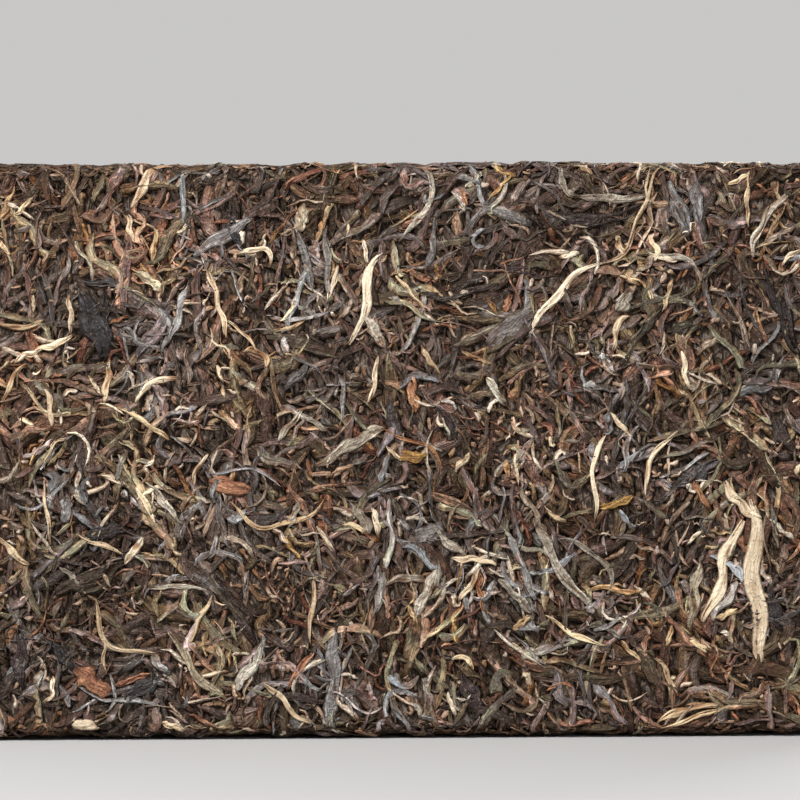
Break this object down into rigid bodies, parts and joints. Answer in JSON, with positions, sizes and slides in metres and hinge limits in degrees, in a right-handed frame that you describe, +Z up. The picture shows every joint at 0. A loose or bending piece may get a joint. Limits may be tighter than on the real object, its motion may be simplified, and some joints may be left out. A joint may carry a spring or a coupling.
{
  "type": "pu erh tea brick",
  "caption": "Oblong block of pressed dark tea leaves with flat faces and rounded, slightly crumbled edges, standing on one long narrow side.",
  "frame": {"origin": "middle of the narrow side that the brick stands on", "axes": "+X along the brick's length, +Y through its thickness, from the broad face that is looked at to the other one, +Z up"},
  "size_m": [0.25, 0.035, 0.16],
  "materials": {
    "pressed_tea": "matt, uneven, dry pressed leaf"
  },
  "bodies": {
    "root": {"tea_brick": "pressed_tea"}
  },
  "joints": []
}
